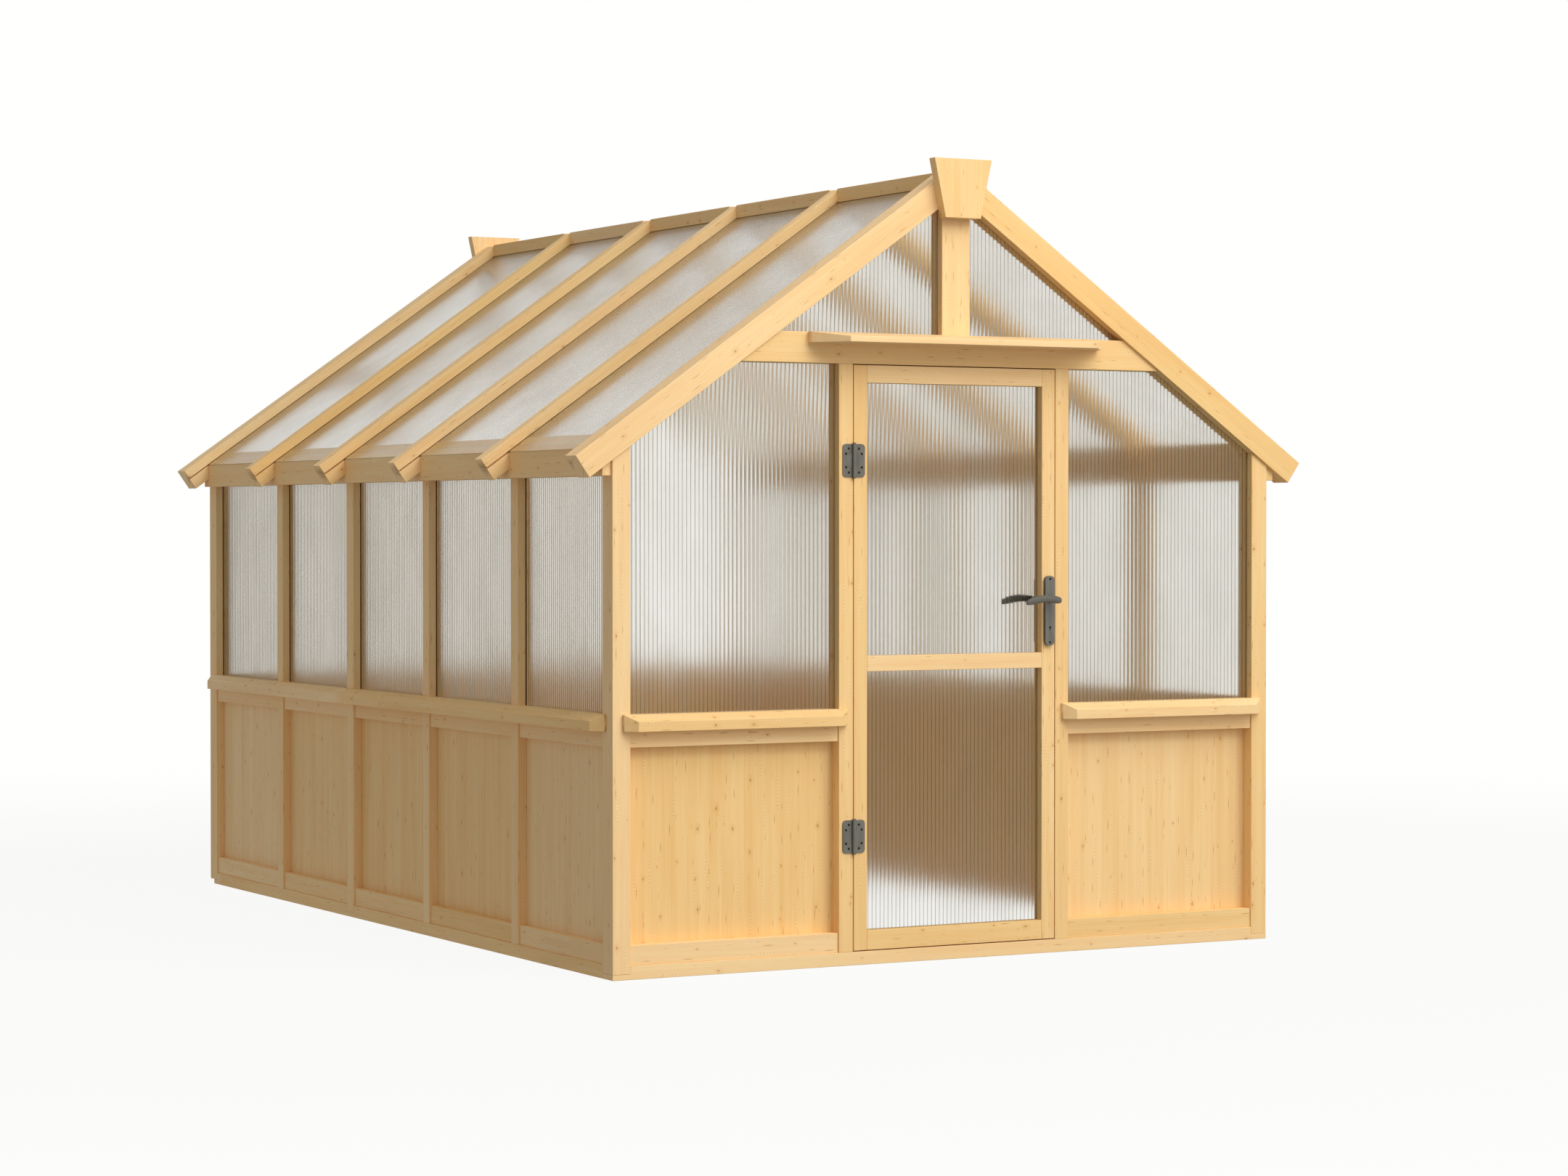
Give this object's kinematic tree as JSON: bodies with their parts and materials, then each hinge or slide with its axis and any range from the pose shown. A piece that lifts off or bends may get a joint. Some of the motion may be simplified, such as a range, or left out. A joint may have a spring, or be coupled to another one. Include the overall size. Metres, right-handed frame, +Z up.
{
  "type": "greenhouse",
  "caption": "Wooden gable greenhouse with boarded lower walls, twin-wall glazing above and on the roof, sloped sills and a latched hinged door.",
  "frame": {"origin": "on the ground, at the middle of the bounding box", "axes": "+Z up, -Y out of the door wall, +X to the right for someone facing the door"},
  "size_m": [2.652, 3.668, 2.5116],
  "materials": {
    "pine": "planed, untreated",
    "glazing": "clear fluted twin-wall sheet",
    "grey_hardware": "satin grey",
    "lock_steel": "zinc plated"
  },
  "bodies": {
    "house_frame": {"base_end_beams": "pine", "base_side_beams": "pine", "door_canopy": "pine", "door_post_left": "pine", "door_post_right": "pine", "door_stops": "pine", "eave_boards": "pine", "finials": "pine", "front_corner_posts": "pine", "front_cross_beam": "pine", "front_gable_rafters": "pine", "front_king_post": "pine", "front_wall_glazing": "glazing", "front_wall_panels": "pine", "front_wall_rails": "pine", "front_wall_sills": "pine", "hinge_leaves_frame": "grey_hardware", "hinge_pins": "grey_hardware", "hinge_screws_frame": "lock_steel", "left_rafters": "pine", "left_roof_glazing": "glazing", "left_wall_glazing": "glazing", "left_wall_panels": "pine", "left_wall_plates": "pine", "left_wall_rails": "pine", "left_wall_sills": "pine", "left_wall_studs": "pine", "rear_corner_posts": "pine", "rear_cross_beam": "pine", "rear_gable_rafters": "pine", "rear_king_post": "pine", "rear_wall_glazing": "glazing", "rear_wall_panels": "pine", "rear_wall_rails": "pine", "rear_wall_sill": "pine", "rear_wall_studs": "pine", "ridge_beam": "pine", "right_rafters": "pine", "right_roof_glazing": "glazing", "right_wall_glazing": "glazing", "right_wall_panels": "pine", "right_wall_plates": "pine", "right_wall_rails": "pine", "right_wall_sills": "pine", "right_wall_studs": "pine", "strike_plate": "lock_steel"},
    "door": {"door_hinge_stile": "pine", "door_lock_stile": "pine", "door_rails": "pine", "door_glazing": "glazing", "hinge_leaves_door": "grey_hardware", "hinge_screws_door": "lock_steel", "handle_plates": "grey_hardware", "handle_plate_bolts": "grey_hardware", "lock_case": "lock_steel"},
    "handle": {"handle_levers": "grey_hardware", "handle_spindle": "lock_steel", "lock_follower": "lock_steel"},
    "latch": {"latch_bolt": "lock_steel"},
    "dead_bolt": {"dead_bolt": "lock_steel"}
  },
  "joints": [
    {"name": "door_swing", "type": "hinge", "parent": "house_frame", "child": "door", "pos_m": [-0.3705, -1.7173, 0.95], "axis": [0, 0, -1], "range_deg": [0, 140]},
    {"name": "handle_turn", "type": "hinge", "parent": "door", "child": "handle", "pos_m": [0.345, -1.689, 1.128], "axis": [0, -1, 0], "range_deg": [0, 45], "stiffness_Nm_per_rad": 1.2, "springref_deg": -22.92},
    {"name": "latch_slide", "type": "slide", "parent": "door", "child": "latch", "axis": [-1, 0, 0], "range_m": [0, 0.012]},
    {"name": "dead_bolt_slide", "type": "slide", "parent": "door", "child": "dead_bolt", "axis": [1, 0, 0], "range_m": [0, 0.014]}
  ],
  "couplings": [
    {"joint": "latch_slide", "follows": "handle_turn", "m_per_rad": 0.015279}
  ]
}
